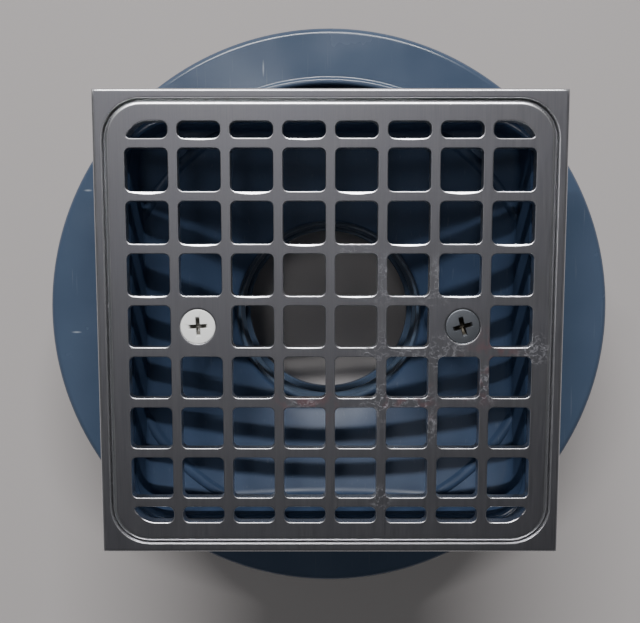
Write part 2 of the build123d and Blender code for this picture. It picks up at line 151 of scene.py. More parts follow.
def make_camera():
    """Camera nearly overhead, a little towards +Y, looking slightly back."""
    data = bpy.data.cameras.new("camera")
    data.lens = 45.5
    data.sensor_width = 36.0
    data.clip_start = 0.01
    camera = bpy.data.objects.new("camera", data)
    camera.location = (-0.0026, 0.024, GRATE_TOP * MM + 0.202)
    camera.rotation_euler = (math.radians(-5.7), 0, 0)
    bpy.context.scene.collection.objects.link(camera)
    bpy.context.scene.camera = camera


def make_light(name, energy, towards, across, tall):
    """A flat lamp that shines from a direction towards the drain."""
    data = bpy.data.lights.new(name, "AREA")
    data.energy = energy
    data.shape = "RECTANGLE"
    data.size = across
    data.size_y = tall
    lamp = bpy.data.objects.new(name, data)
    direction = Vector(towards).normalized()
    lamp.rotation_euler = direction.to_track_quat("Z", "Y").to_euler()
    lamp.location = direction * LAMP_DISTANCE + Vector((0, 0, GRATE_TOP * MM))
    bpy.context.scene.collection.objects.link(lamp)


def make_studio():
    """A soft key lamp from the far side, a dim surround and a pale floor."""
    make_light("key", 57.0, (-0.05, 0.722, 0.69), 1.6, 0.032)
    make_light("low", 3.3, (-0.5, 0.9, 0.3), 1.5, 0.4)
    make_light("over", 5.9, (-0.13, 0.2, 0.97), 0.36, 0.36)
    world = bpy.data.worlds.new("studio")
    world.use_nodes = True
    world.node_tree.nodes["Background"].inputs["Color"].default_value = (0.9, 0.95, 1.0, 1)
    world.node_tree.nodes["Background"].inputs["Strength"].default_value = 0.065
    bpy.context.scene.world = world
    bm = bmesh.new()
    bmesh.ops.create_grid(bm, x_segments=1, y_segments=1, size=3.0)
    floor = finished("floor", bm, pale_floor(), None)


# ---------------------------------------------------------------- finishes

class Finish:
    """A procedural finish on the object's own coordinates."""

    def __init__(self, name, colour, roughness, metallic=0.0):
        self.material = bpy.data.materials.new(name)
        self.material.use_nodes = True
        self.tree = self.material.node_tree
        self.shader = self.tree.nodes["Principled BSDF"]
        self.shader.inputs["Base Color"].default_value = (*colour, 1)
        self.shader.inputs["Roughness"].default_value = roughness
        self.shader.inputs["Metallic"].default_value = metallic
        self.place = self.add("ShaderNodeTexCoord").outputs["Object"]
        self.normal = None

    def add(self, kind, **settings):
        node = self.tree.nodes.new(kind)
        for key, value in settings.items():
            setattr(node, key, value)
        return node

    def feed(self, socket, value):
        """A link if the value is a node's output, or else the value itself."""
        if isinstance(value, bpy.types.NodeSocket):
            self.tree.links.new(value, socket)
        elif isinstance(value, tuple) and len(value) == 3 and socket.type == "RGBA":
            socket.default_value = (*value, 1)
        else:
            socket.default_value = value

    def noise(self, size, stretch=(1, 1, 1), detail=2.0, offset=(0, 0, 0), rough=0.5):
        """Noise whose features are about a size in millimetres, stretched along each axis."""
        mapping = self.add("ShaderNodeMapping")
        self.feed(mapping.inputs["Vector"], self.place)
        mapping.inputs["Location"].default_value = offset
        mapping.inputs["Scale"].default_value = [1 / s for s in stretch]
        noise = self.add("ShaderNodeTexNoise")
        self.feed(noise.inputs["Vector"], mapping.outputs["Vector"])
        noise.inputs["Scale"].default_value = 1 / (size * MM)
        noise.inputs["Detail"].default_value = detail
        noise.inputs["Roughness"].default_value = rough
        return noise.outputs["Fac"]

    def ramp(self, value, low, high, to_low=0.0, to_high=1.0):
        """The value from low to high, spread from one end to the other and held there."""
        node = self.add("ShaderNodeMapRange", clamp=True)
        for socket, given in zip(node.inputs, (value, low, high, to_low, to_high)):
            self.feed(socket, given)
        return node.outputs["Result"]

    def math(self, operation, a, b=0.0):
        node = self.add("ShaderNodeMath", operation=operation)
        self.feed(node.inputs[0], a)
        self.feed(node.inputs[1], b)
        return node.outputs["Value"]

    def mix(self, factor, a, b):
        """Colour a to colour b."""
        node = self.add("ShaderNodeMix", data_type="RGBA")
        self.feed(node.inputs["Factor"], factor)
        self.feed(node.inputs[6], a)
        self.feed(node.inputs[7], b)
        return node.outputs[2]

    def height(self):
        """How high each point of the object is."""
        apart = self.add("ShaderNodeSeparateXYZ")
        self.feed(apart.inputs["Vector"], self.place)
        return apart.outputs["Z"]

    def near(self, centre, radius, soft, squash=(1, 1)):
        """1 within a radius of a place on the plan and 0 past a soft edge, in millimetres."""
        shifted = self.add("ShaderNodeMapping")
        self.feed(shifted.inputs["Vector"], self.place)
        shifted.inputs["Location"].default_value = (-centre[0] * MM, -centre[1] * MM, 0)
        flat = self.add("ShaderNodeVectorMath", operation="MULTIPLY")
        self.feed(flat.inputs[0], shifted.outputs["Vector"])
        flat.inputs[1].default_value = (*squash, 0)
        length = self.add("ShaderNodeVectorMath", operation="LENGTH")
        self.feed(length.inputs[0], flat.outputs["Vector"])
        return self.ramp(length.outputs["Value"], radius * MM, (radius + soft) * MM, 1.0, 0.0)

    def bump(self, height, depth, strength=1.0):
        """A bump of a depth in millimetres, laid over any that is there."""
        node = self.add("ShaderNodeBump")
        node.inputs["Distance"].default_value = depth * MM
        node.inputs["Strength"].default_value = strength
        self.feed(node.inputs["Height"], height)
        if self.normal is not None:
            self.feed(node.inputs["Normal"], self.normal)
        self.normal = node.outputs["Normal"]
        self.feed(self.shader.inputs["Normal"], self.normal)

    def set(self, name, value):
        self.feed(self.shader.inputs[name], value)


def brushed_nickel(name, stained):
    """Satin nickel brushed along Y, lighter below its top face as a painted highlight on the rolled edges,
    with mineral crust and faint rust stains if it is stained.
    """
    finish = Finish(name, (0.34, 0.33, 0.34), 0.42, 1.0)
    hairs = finish.noise(0.16, stretch=(1, 60, 1), detail=3.0)
    clouds = finish.noise(14, detail=3.0, offset=(0.31, 0.12, 0))
    tone = finish.mix(hairs, (0.11, 0.11, 0.122), (0.185, 0.182, 0.195))
    tone = finish.mix(finish.ramp(clouds, 0.35, 0.7, 0.0, 0.35), tone, (0.135, 0.135, 0.158))
    rough = finish.ramp(hairs, 0.25, 0.75, 0.44, 0.56)
    finish.bump(hairs, 0.006, 0.5)
    # Below the top face (rolled edges, cell walls, ledges, undersides) the nickel is smoother and much
    # lighter; the lighter colour is a painted highlight on the rolled edges.
    edges = finish.ramp(finish.height(), (GRATE_TOP - 0.05) * MM, (GRATE_TOP - 0.005) * MM, 1.0, 0.0)
    rough = finish.math("SUBTRACT", rough, finish.math("MULTIPLY", edges, 0.2))
    tone = finish.mix(finish.math("MULTIPLY", edges, 0.85), tone, (0.85, 0.85, 0.87))
    if stained:
        crust_places = 0.0
        for x, y, radius in CRUST_PLACES:
            crust_places = finish.math("MAXIMUM", finish.near((x, y), radius * 0.3, radius), crust_places)
        veins = finish.noise(2.6, detail=5.0, rough=0.6)
        swirl = finish.math("ABSOLUTE", finish.math("SUBTRACT", veins, 0.5))
        lines = finish.ramp(swirl, 0.004, 0.016, 0.8, 0.0)
        grains = finish.ramp(finish.noise(0.8, detail=3.0, offset=(0.2, 0.1, 0)), 0.64, 0.72)
        marks = finish.math("MAXIMUM", lines, grains)
        crust = finish.math("MULTIPLY", marks, crust_places)
        stain_cloud = finish.ramp(finish.noise(2.4, detail=3.0, offset=(0.07, 0.4, 0)), 0.46, 0.62)
        stain_places = 0.0
        for x, y, radius in STAIN_PLACES:
            stain_places = finish.math("MAXIMUM", finish.near((x, y), radius * 0.4, radius), stain_places)
        stain = finish.math("MULTIPLY", stain_cloud, stain_places)
        tone = finish.mix(finish.math("MULTIPLY", stain, 0.5), tone, (0.26, 0.13, 0.14))
        tone = finish.mix(finish.math("MULTIPLY", crust, 0.5), tone, (0.48, 0.48, 0.52))
        rough = finish.math("ADD", rough, finish.math("MULTIPLY", crust, 0.35))
        finish.set("Metallic", finish.ramp(crust, 0, 1, 1.0, 0.5))
        finish.bump(crust, 0.05)
    finish.set("Base Color", tone)
    finish.set("Roughness", rough)
    return finish.material


def slate_plastic(name, colour, gloss=0.3, shine=0.5, scratches=(), glossy_above=None):
    """Moulded blue plastic: fine pebble, soft marks and a few scratches, glossier above a height."""
    finish = Finish(name, colour, gloss)
    finish.set("Specular IOR Level", shine)
    clouds = finish.noise(18, detail=4.0)
    fine = finish.noise(0.5, detail=2.0)
    marks = finish.ramp(finish.noise(0.7, stretch=(1, 26, 1), detail=2.0), 0.66, 0.74)
    darker = tuple(c * 0.86 for c in colour)
    lighter = tuple(min(1.0, c * 1.12 + 0.004) for c in colour)
    tone = finish.mix(clouds, darker, lighter)
    tone = finish.mix(finish.math("MULTIPLY", marks, 0.25), tone, tuple(c + 0.10 for c in colour))
    for x, y, length, squash in scratches:
        scratch = finish.near((x, y), length * 0.2, length * 0.8, squash)
        tone = finish.mix(finish.math("MULTIPLY", scratch, 0.7), tone, (0.34, 0.38, 0.44))
    finish.set("Base Color", tone)
    rough = finish.ramp(clouds, 0.3, 0.7, gloss - 0.04, gloss + 0.08)
    if glossy_above is not None:
        upper = finish.ramp(finish.height(), (glossy_above - 1) * MM, glossy_above * MM)
        rough = finish.math("SUBTRACT", rough, finish.math("MULTIPLY", upper, gloss - 0.14))
    finish.set("Roughness", rough)
    finish.bump(fine, 0.012, 0.4)
    return finish.material


def machined(name, colour, roughness, metallic=1.0, recess_x=None):
    """Turned or plated metal with fine marks, and painted shade darkening a screw's cross recess with depth
    if its place is given.
    """
    finish = Finish(name, colour, roughness, metallic)
    marks = finish.noise(0.3, stretch=(1, 1, 6), detail=3.0)
    clouds = finish.noise(3.0, detail=3.0)
    darker = tuple(c * 0.9 for c in colour)
    tone = finish.mix(clouds, darker, colour)
    if recess_x is not None:
        # Painted shade: the cross recess grows darker with depth below the head.
        below = finish.ramp(finish.height(), (SCREW_TOP - 0.6) * MM, (SCREW_TOP - 0.1) * MM, 0.93, 0.0)
        above = finish.ramp(finish.height(), (SCREW_TOP - 2.1) * MM, (SCREW_TOP - 2.0) * MM)
        depth = finish.math("MULTIPLY", below, above)
        recess_shade = finish.math("MULTIPLY", finish.near((recess_x, 0), 2.5, 0.1), depth)
        tone = finish.mix(recess_shade, tone, (0.05, 0.043, 0.03))
    finish.set("Base Color", tone)
    finish.set("Roughness", finish.ramp(marks, 0.3, 0.7, roughness - 0.06, roughness + 0.1))
    finish.bump(marks, 0.01, 0.5)
    return finish.material


def pale_floor():
    """Plain matt floor."""
    return Finish("pale_floor", (0.42, 0.395, 0.39), 0.85).material


# ---------------------------------------------------------------- shaping helpers

def finished(name, bm, material, body, nodes=(), sharp=32):
    """Turns a shape into an object that rides on a body and stands for CAD nodes."""
    bmesh.ops.recalc_face_normals(bm, faces=bm.faces)
    mesh = bpy.data.meshes.new(name)
    bm.to_mesh(mesh)
    bm.free()
    mesh.materials.append(material)
    mesh.polygons.foreach_set("use_smooth", [True] * len(mesh.polygons))
    mesh.set_sharp_from_angle(angle=math.radians(sharp))
    piece = bpy.data.objects.new(name, mesh)
    bpy.context.scene.collection.objects.link(piece)
    if body:
        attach(piece, body)
        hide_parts(*nodes)
    return piece


def in_metres(points):
    """Points in millimetres as vectors in metres."""
    return [Vector(p) * MM for p in points]


def partners(ring, grown):
    """The newly grown corner joined to each corner of a ring, in the ring's order."""
    grown = set(grown)
    return [next(o for o in (e.other_vert(v) for e in v.link_edges) if o in grown) for v in ring]


def lofted(bm, rings, closed=False):
    """A skin grown from ring to ring. A closed one ends on its first; a ring of one point is a pole."""
    first = in_metres(rings[0])
    ring = bmesh.ops.create_circle(bm, segments=len(first), radius=1.0)["verts"]
    for vert, place in zip(ring, first):
        vert.co = place
    following = rings[1:] + ([rings[0]] if closed else [])
    for points in following:
        edges = [e for e in (bm.edges.get((a, b)) for a, b in zip(ring, ring[1:] + ring[:1])) if e]
        grown = bmesh.ops.extrude_edge_only(bm, edges=edges)["geom"]
        ring = partners(ring, [g for g in grown if isinstance(g, bmesh.types.BMVert)])
        places = in_metres(points)
        if len(places) == 1:
            places = places * len(ring)
        for vert, place in zip(ring, places):
            vert.co = place
    bmesh.ops.remove_doubles(bm, verts=bm.verts, dist=SKIN_MERGE * MM)


def spun(bm, profile, segments=160):
    """A closed outline of (radius, height) corners turned about the Z axis."""
    corners = [bm.verts.new((r * MM, 0, z * MM)) for r, z in profile]
    edges = [bm.edges.new((a, b)) for a, b in zip(corners, corners[1:] + corners[:1])]
    bmesh.ops.spin(
        bm,
        geom=corners + edges,
        cent=(0, 0, 0),
        axis=(0, 0, 1),
        angle=2 * math.pi,
        steps=segments,
        use_merge=True,
    )


def appended(bm, part, matrix=None):
    """Adds one bmesh to another, moved by a matrix, and frees it."""
    mesh = bpy.data.meshes.new("part")
    if matrix is not None:
        bmesh.ops.transform(part, matrix=matrix, verts=part.verts)
    part.to_mesh(mesh)
    part.free()
    bm.from_mesh(mesh)
    bpy.data.meshes.remove(mesh)


def softened(bm, width, angle=35, segments=2):
    """Small round on every edge sharper than an angle."""
    limit = math.radians(angle)
    edges = [e for e in bm.edges if len(e.link_faces) == 2 and e.calc_face_angle(0.0) > limit]
    bmesh.ops.bevel(
        bm,
        geom=edges,
        offset=width * MM,
        affect="EDGES",
        segments=segments,
        profile=0.5,
        material=-1,
        clamp_overlap=True,
    )


def quarter(count):
    """Steps of a quarter turn, as (sine, cosine) pairs."""
    return [(math.sin(a), math.cos(a)) for a in (math.pi / 2 * i / count for i in range(count + 1))]


def polar_steps(per_quarter=60):
    """Directions round a square, closer together near its corners."""
    steps = []
    for quarter_turn in range(4):
        for i in range(per_quarter):
            u = 2 * i / per_quarter - 1
            share = 0.5 * u + 0.5 * math.sin(math.pi / 2 * u)
            steps.append(math.radians(quarter_turn * 90 + 45 * share))
    return steps


def square_reach(angle, half, corner):
    """Distance from the centre to a rounded square's edge in a direction."""
    x = abs(math.cos(angle))
    y = abs(math.sin(angle))
    core = half - corner
    reach = half / max(x, y)
    if min(x, y) * reach > core:
        along = (x + y) * core
        reach = along + math.sqrt(along * along - 2 * core * core + corner * corner)
    return reach


def square_ring(half, corner, z, angles):
    """A rounded square at a height, or at a height worked out from each point's radius."""
    ring = []
    for a in angles:
        reach = square_reach(a, half, corner)
        height = z(reach) if callable(z) else z
        ring.append((reach * math.cos(a), reach * math.sin(a), height))
    return ring


def circle_ring(radius, z, angles):
    """A circle at a height."""
    return [(radius * math.cos(a), radius * math.sin(a), z) for a in angles]


def even_steps(count):
    """Directions evenly round a full turn."""
    return [2 * math.pi * i / count for i in range(count)]


# ---------------------------------------------------------------- grate

def cell_ring(half_x, half_y, corner, z, grow=None, arc=8, side=8):
    """A rounded rectangle at a height, pushed outwards by a growth worked out at each point."""
    ring = []
    for turn in range(4):
        a = math.pi / 2 * turn
        sx = 1 if turn in (0, 3) else -1
        sy = 1 if turn in (0, 1) else -1
        cx = sx * (half_x - corner)
        cy = sy * (half_y - corner)
        for i in range(arc + 1):
            t = a + math.pi / 2 * i / arc
            ring.append((cx + corner * math.cos(t), cy + corner * math.sin(t), math.cos(t), math.sin(t)))
        along_x = turn in (0, 2)
        run = 2 * ((half_x if along_x else half_y) - corner)
        for i in range(1, side):
            step = run * i / side
            x, y, nx, ny = ring[-1 - (i - 1)]
            ring.append(
                (x - sx * step if along_x else x, y if along_x else y - sy * step, nx, ny)
            )
    placed = []
    for x, y, nx, ny in ring:
        push = grow(x, y, nx, ny) if grow else 0.0
        height = z(x, y, nx, ny) if callable(z) else z
        placed.append((x + nx * push, y + ny * push, height))
    return placed


def tile_ring(half_x, half_y, z, near_x=1.75, near_y=1.75, arc=8, side=8):
    """The square edge of a tile, with its corners spread the way a cell's are."""
    ring = []
    half_arc = arc // 2
    for turn in range(4):
        sx = 1 if turn in (0, 3) else -1
        sy = 1 if turn in (0, 1) else -1
        corner = []
        for i in range(half_arc + 1):
            corner.append((sx * half_x, sy * (half_y - near_y * (1 - i / half_arc)), z))
        for i in range(1, half_arc + 1):
            corner.append((sx * (half_x - near_x * i / half_arc), sy * half_y, z))
        if turn in (1, 3):
            corner.reverse()
        ring += corner
        along_x = turn in (0, 2)
        last = corner[-1]
        run = 2 * ((half_x - near_x) if along_x else (half_y - near_y))
        for i in range(1, side):
            step = run * i / side
            if along_x:
                ring.append((last[0] - sx * step, last[1], z))
            else:
                ring.append((last[0], last[1] - sy * step, z))
    return ring


def make_cell_tile(half_y, hole_y, corner, roll, lens):
    """One cell with half a bar all round. Its lower edge rolls over more, most in the middle."""
    bm = bmesh.new()
    half_x = CELL_PITCH / 2
    hole_x = CELL / 2
    near_y = 1.75 if hole_y > 3 else 2.2

    def width(x, y, nx, ny):
        belly = max(0.0, 1 - (x / (hole_x - 0.6)) ** 2) if ny < -0.5 else 0.0
        return roll + lens * belly

    rings = [tile_ring(half_x, half_y, GRATE_TOP, near_y=near_y)]
    for (round_push, round_drop), (bevel_push, bevel_drop) in zip(ROUND_EDGE, BEVELLED_EDGE):

        def push(x, y, nx, ny, rounded=round_push, bevelled=bevel_push):
            share = max(0.0, -ny)
            return width(x, y, nx, ny) * (rounded + (bevelled - rounded) * share)

        def drop(x, y, nx, ny, rounded=round_drop, bevelled=bevel_drop):
            share = max(0.0, -ny)
            return GRATE_TOP - width(x, y, nx, ny) * (rounded + (bevelled - rounded) * share)

        rings.append(cell_ring(hole_x, hole_y, corner, drop, push))
    rings.append(cell_ring(hole_x, hole_y, corner, GRATE_BOTTOM + 0.2))
    rings.append(cell_ring(hole_x, hole_y, corner, GRATE_BOTTOM, lambda x, y, nx, ny: 0.15))
    rings.append(tile_ring(half_x, half_y, GRATE_BOTTOM, near_y=near_y))
    lofted(bm, rings)
    return bm


def make_corner_tile(half_y, hole_y, roll):
    """Thin end cell whose outer corner, at +X and +Y, follows the grate's corner."""
    bm = bmesh.new()
    half_x = CELL_PITCH / 2
    hole_x = CELL / 2
    small = THIN_CORNER

    def follow(points):
        """Pulls the points past the big corner's arc back on to it."""
        pulled = []
        centre_x = hole_x - FIELD_CORNER
        centre_y = hole_y - FIELD_CORNER
        for x, y, z in points:
            out_x = x - centre_x
            out_y = y - centre_y
            reach = math.hypot(out_x, out_y)
            past = max(abs(x) - hole_x, abs(y) - hole_y, 0)
            limit = FIELD_CORNER + past
            if x > centre_x and reach > limit:
                x = centre_x + out_x * limit / reach
                y = centre_y + out_y * limit / reach
            pulled.append((x, y, z))
        return pulled

    rings = [tile_ring(half_x, half_y, GRATE_TOP, near_y=2.2)]
    rings.append(follow(cell_ring(hole_x, hole_y, small, GRATE_TOP, lambda x, y, nx, ny: roll * 1.3)))
    for sine, cosine in quarter(4):
        z = GRATE_TOP - (1 - cosine) * roll
        grown = cell_ring(hole_x, hole_y, small, z, lambda x, y, nx, ny, s=sine: roll * (1 - s))
        rings.append(follow(grown))
    rings.append(follow(cell_ring(hole_x, hole_y, small, GRATE_BOTTOM)))
    rings.append(tile_ring(half_x, half_y, GRATE_BOTTOM, near_y=2.2))
    lofted(bm, rings)
    return bm


def make_screw_tile(offset):
    """Solid cell with a countersunk hole set a little outboard."""
    bm = bmesh.new()
    half = CELL_PITCH / 2
    rings = [tile_ring(half, half, GRATE_TOP)]
    through = GRATE_TOP - GRATE_BOTTOM
    seat = (
        (4.95, 0.0), (4.62, 0.0), (4.5, 0.05), (4.45, 0.3),
        (2.85, 2.2), (2.75, 2.4), (2.75, through),
    )
    for radius, depth in seat:
        ring = cell_ring(radius, radius, radius * 0.999, GRATE_TOP - depth)
        rings.append([(x + offset, y, z) for x, y, z in ring])
    rings.append(tile_ring(half, half, GRATE_BOTTOM))
    lofted(bm, rings)
    return bm


def grow_margin(bm):
    """Grows the field's open edge out to the grate's rounded outline and round its sides."""
    edge_round = 1.3
    border = [e for e in bm.edges if e.is_boundary]
    upper = [e for e in border if min(v.co.z for v in e.verts) > (GRATE_TOP - 0.1) * MM]
    rings = [(edge_round + 0.3, GRATE_TOP)]
    for sine, cosine in quarter(8):
        rings.append((edge_round * (1 - sine), GRATE_TOP - edge_round * (1 - cosine)))
    rings.append((0.0, GRATE_BOTTOM + 0.2))
    rings.append((0.2, GRATE_BOTTOM))
    edges = upper
    for inset, z in rings:
        grown = bmesh.ops.extrude_edge_only(bm, edges=edges)["geom"]
        for vert in (g for g in grown if isinstance(g, bmesh.types.BMVert)):
            a = math.atan2(vert.co.y, vert.co.x)
            reach = square_reach(a, GRATE_HALF - inset, GRATE_CORNER - inset)
            vert.co = in_metres([(reach * math.cos(a), reach * math.sin(a), z)])[0]
        edges = [g for g in grown if isinstance(g, bmesh.types.BMEdge)]
    lower = [e for e in bm.edges if e.is_boundary]
    bmesh.ops.bridge_loops(bm, edges=lower)


def make_grate():
    """The grate: cells in columns and rows, two solid cells and a plain margin."""
    bm = bmesh.new()
    row_places = [(i - (ROWS - 3) / 2) * CELL_PITCH for i in range(ROWS - 2)]
    thin_y = FIELD_HALF - THIN_CELL / 2
    thin_half = (FIELD_HALF + BAR / 2 - row_places[-1] - CELL_PITCH / 2) / 2
    rows = [-thin_y] + row_places + [thin_y]
    for j, y in enumerate(rows):
        for i in range(COLUMNS):
            x = (i - (COLUMNS - 1) / 2) * CELL_PITCH
            place = Matrix.Translation(Vector((x, y, 0)) * MM)
            thin = j in (0, ROWS - 1)
            odd = (i + j) % 2 == 1
            lens = 0.6 * min(1.0, max(0.06, (j - 3) / 4)) if odd else 0.04
            if thin and i in (0, COLUMNS - 1):
                side = 1 if i else -1
                end = 1 if j else -1
                part = make_corner_tile(thin_half, THIN_CELL / 2, 0.3)
                place = place @ Matrix.Diagonal((side, end, 1, 1))
            elif thin:
                part = make_cell_tile(thin_half, THIN_CELL / 2, THIN_CORNER, 0.22, lens * 0.5)
            elif j == ROWS // 2 and i in (1, COLUMNS - 2):
                part = make_screw_tile(SCREW_X - abs(x) if x > 0 else abs(x) - SCREW_X)
            else:
                part = make_cell_tile(CELL_PITCH / 2, CELL / 2, CELL_CORNER, 0.18, lens)
            appended(bm, part, place)
    bmesh.ops.remove_doubles(bm, verts=bm.verts, dist=FIELD_MERGE * MM)
    grow_margin(bm)
    nickel = brushed_nickel("grate_nickel_finish", True)
    return finished("grid_grate", bm, nickel, "grate", ["grate"], sharp=40)


# ---------------------------------------------------------------- frame, tub and sleeve

def make_tile_frame():
    """Square ring with small edges, the grate's pocket and ledge, and a skirt over the collar."""
    bm = bmesh.new()
    angles = polar_steps()
    edge = 0.35
    lip = 0.25
    outlines = [
        (FRAME_HALF, 0.15, FRAME_BOTTOM + edge),
        *[(FRAME_HALF - 0.8 * (1 - c), 0.15, GRATE_TOP - 0.8 * (1 - s)) for s, c in quarter(6)],
        (FRAME_HALF - 1.0, 0.15, GRATE_TOP),
        (POCKET_HALF + lip + 0.2, POCKET_CORNER + lip + 0.2, GRATE_TOP),
        (POCKET_HALF + lip, POCKET_CORNER + lip, GRATE_TOP),
        (POCKET_HALF + lip * 0.3, POCKET_CORNER + lip * 0.3, GRATE_TOP - lip * 0.3),
        (POCKET_HALF, POCKET_CORNER, GRATE_TOP - lip),
        (POCKET_HALF, POCKET_CORNER, GRATE_BOTTOM),
        (OPENING_HALF + lip, OPENING_CORNER + lip, GRATE_BOTTOM),
        (OPENING_HALF, OPENING_CORNER, GRATE_BOTTOM - lip),
        (OPENING_HALF, OPENING_CORNER, COLLAR_TOP),
        (POCKET_HALF, POCKET_CORNER, COLLAR_TOP),
        (POCKET_HALF, POCKET_CORNER, FRAME_BOTTOM),
        (FRAME_HALF - edge, 0.15, FRAME_BOTTOM),
    ]
    lofted(bm, [square_ring(half, corner, z, angles) for half, corner, z in outlines], closed=True)
    nickel = brushed_nickel("frame_nickel_finish", False)
    return finished("square_frame", bm, nickel, "tub", ["tile_frame"], sharp=40)


def cone_z(radius, drop=0.0):
    """Height of the dish's upper face at a radius."""
    return OUTLET_Z + (radius - OUTLET_RADIUS) * CONE_SLOPE - drop


def make_tub():
    """Collar and conical floor in one skin, over a dish with a beaded rim, two posts and four bosses."""
    bm = bmesh.new()
    angles = polar_steps()
    spigot_bottom = SLEEVE_TOP - SPIGOT_LENGTH
    under = CONE_DROP - 0.1
    lip = 1.3
    foot_round = 2.0
    rings = [
        circle_ring(OUTLET_RADIUS, spigot_bottom, angles),
        circle_ring(OUTLET_RADIUS, OUTLET_Z - 0.6, angles),
        circle_ring(OUTLET_RADIUS + 0.2, OUTLET_Z - 0.15, angles),
        circle_ring(OUTLET_RADIUS + 0.7, cone_z(OUTLET_RADIUS + 0.7), angles),
        circle_ring(OUTLET_RADIUS + 12, cone_z(OUTLET_RADIUS + 12), angles),
    ]
    for sine, cosine in quarter(4):
        inset = foot_round * (1 - sine)
        lift = foot_round * 0.6 * (1 - cosine)
        rings.append(
            square_ring(COLLAR_HALF - inset, COLLAR_CORNER - inset, lambda r, up=lift: cone_z(r) + up, angles)
        )
    for sine, cosine in quarter(4):
        rings.append(
            square_ring(
                COLLAR_HALF + lip * (1 - cosine),
                COLLAR_CORNER + lip * (1 - cosine),
                COLLAR_TOP - lip * (1 - sine),
                angles,
            )
        )
    flange_half = POCKET_HALF - NESTING_GAP
    flange_corner = POCKET_CORNER - NESTING_GAP
    flange_under = COLLAR_TOP - COLLAR_WALL
    outer_half = COLLAR_HALF + COLLAR_WALL
    outer_corner = COLLAR_CORNER + COLLAR_WALL
    rings += [
        square_ring(flange_half, flange_corner, COLLAR_TOP, angles),
        square_ring(flange_half, flange_corner, flange_under, angles),
        square_ring(outer_half, outer_corner, flange_under, angles),
        square_ring(outer_half, outer_corner, lambda r: cone_z(r, under), angles),
        circle_ring(SPIGOT_RADIUS + 5, cone_z(SPIGOT_RADIUS + 5, under), angles),
        circle_ring(SPIGOT_RADIUS, SLEEVE_TOP + 0.3, angles),
        circle_ring(SPIGOT_RADIUS, spigot_bottom, angles),
    ]
    lofted(bm, rings, closed=True)
    appended(bm, make_dish())
    for side in (-1, 1):
        appended(bm, make_post(side * SCREW_X))
    for turn in range(4):
        appended(bm, make_frame_boss(turn))
    plastic = slate_plastic("tub_plastic_finish", (0.03, 0.052, 0.1), 0.36, 0.25, (), COLLAR_TOP - 1)
    return finished("tub_shell", bm, plastic, "tub", ["strainer_tub"], sharp=35)


def make_dish():
    """The dish outside the collar: its cone, rolled rim bead and underside."""
    part = bmesh.new()
    rim_z = cone_z(DISH_RADIUS)
    bead_z = rim_z - BEAD_RADIUS / 2
    sink = 0.15
    profile = [(r, cone_z(r, 1.0)) for r in (OUTLET_RADIUS + 2.5, COLLAR_HALF - 2)]
    profile.append((COLLAR_HALF + 1, cone_z(COLLAR_HALF + 1, sink)))
    profile.append((DISH_RADIUS - BEAD_RADIUS - 0.4, cone_z(DISH_RADIUS - BEAD_RADIUS - 0.4, sink)))
    for i in range(13):
        a = math.radians(165 - 20 * i)
        profile.append((DISH_RADIUS + BEAD_RADIUS * math.cos(a), bead_z + BEAD_RADIUS * math.sin(a)))
    profile.append((DISH_RADIUS - 2.0, cone_z(DISH_RADIUS - 2.0, CONE_DROP)))
    profile.append((SPIGOT_RADIUS + 4.6, SLEEVE_TOP + 0.02))
    profile.append((SPIGOT_RADIUS - 0.2, SLEEVE_TOP + 0.02))
    spun(part, profile)
    return part


def make_post(x):
    """Screw post with a drafted side and a rounded foot, standing on the cone."""
    part = bmesh.new()
    top = GRATE_BOTTOM - 0.3
    foot = cone_z(abs(x) + 2) - 1
    angles = even_steps(48)
    insert = 3.45
    rings = []
    for radius, z in ((6.1, foot + 0.2), (5.3, foot + 1.6), (4.75, foot + 3.4), (4.6, top - 0.4), (4.3, top)):
        rings.append([(px + x, py, pz) for px, py, pz in circle_ring(radius, z, angles)])
    for radius, z in ((insert, top), (insert, top - 10.0), (2.45, top - 10.0), (2.45, top - 12)):
        rings.append([(px + x, py, pz) for px, py, pz in circle_ring(radius, z, angles)])
    rings.append([(x, 0, top - 12)])
    lofted(part, rings)
    return part


def make_frame_boss(turn):
    """Small boss under a corner of the collar's flange, for a frame screw."""
    part = bmesh.new()
    low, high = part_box(f"frame_screw_{turn + 1}")
    middle = (low + high) / 2 / MM
    angles = even_steps(32)
    top = COLLAR_TOP - 2.9
    rings = []
    for radius, z in ((2.4, top - 5.1), (2.75, top - 4.7), (2.75, top)):
        rings.append([(px + middle.x, py + middle.y, pz) for px, py, pz in circle_ring(radius, z, angles)])
    rings.append([(middle.x, middle.y, top)])
    lofted(part, rings)
    return part


